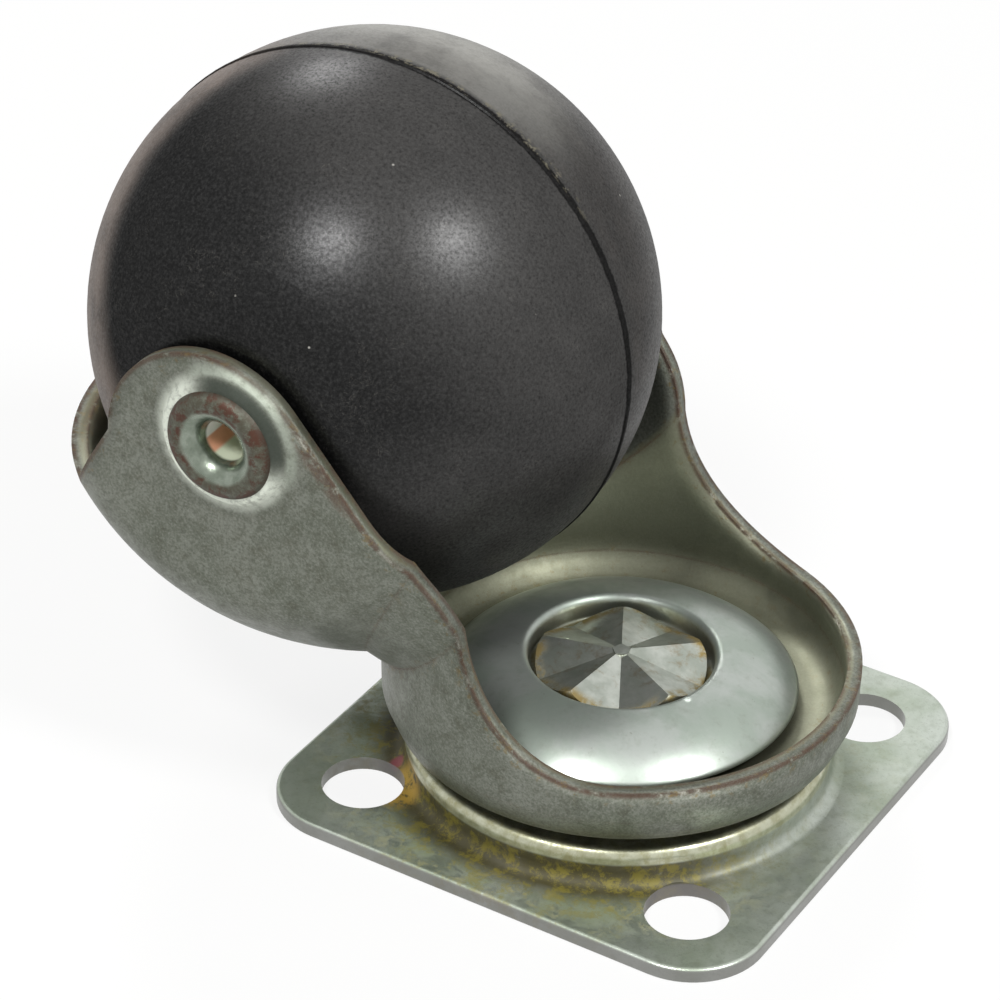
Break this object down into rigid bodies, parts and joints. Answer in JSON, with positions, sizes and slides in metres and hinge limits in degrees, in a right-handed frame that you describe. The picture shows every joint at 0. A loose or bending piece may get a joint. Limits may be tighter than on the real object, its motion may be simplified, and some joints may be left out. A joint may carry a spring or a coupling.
{
  "type": "ball castor",
  "caption": "Swivel castor whose rubber ball rolls on a hollow axle rivet in a pressed fork, on a square plate with a raised swivel boss.",
  "frame": {"origin": "on the swivel axis at the mounting face of the plate", "axes": "+Z away from the mounting face along the swivel axis, plate edges along X and Y, ball towards -X and axle nearly along Y"},
  "size_m": [0.0762, 0.0522, 0.0643],
  "materials": {
    "plate_zinc": "dull zinc with yellowed stains",
    "fork_zinc": "dull mottled zinc with brown cut edges",
    "cap_steel": "worn bright zinc",
    "rivet_steel": "staked steel",
    "bearing_steel": "polished",
    "axle_steel": "zinc with rust at the rolled rim",
    "bush_steel": "plain drawn tube",
    "black_rubber": "matte, finely scuffed"
  },
  "bodies": {
    "plate": {"top_plate": "plate_zinc", "king_rivet": "rivet_steel", "race_cap": "cap_steel", "lower_race_balls": "bearing_steel"},
    "fork": {"fork": "fork_zinc", "axle_tube": "axle_steel", "upper_race_balls": "bearing_steel"},
    "ball": {"rubber_ball": "black_rubber", "hub_bush": "bush_steel"}
  },
  "joints": [
    {"name": "swivel", "type": "hinge", "parent": "plate", "child": "fork", "pos_m": [0, 0, 0.0071], "axis": [0, 0, 1], "continuous": true},
    {"name": "ball_spin", "type": "hinge", "parent": "fork", "child": "ball", "pos_m": [-0.02528, -0.0011, 0.0392], "axis": [-0.0436, 0.999, 0], "continuous": true}
  ]
}
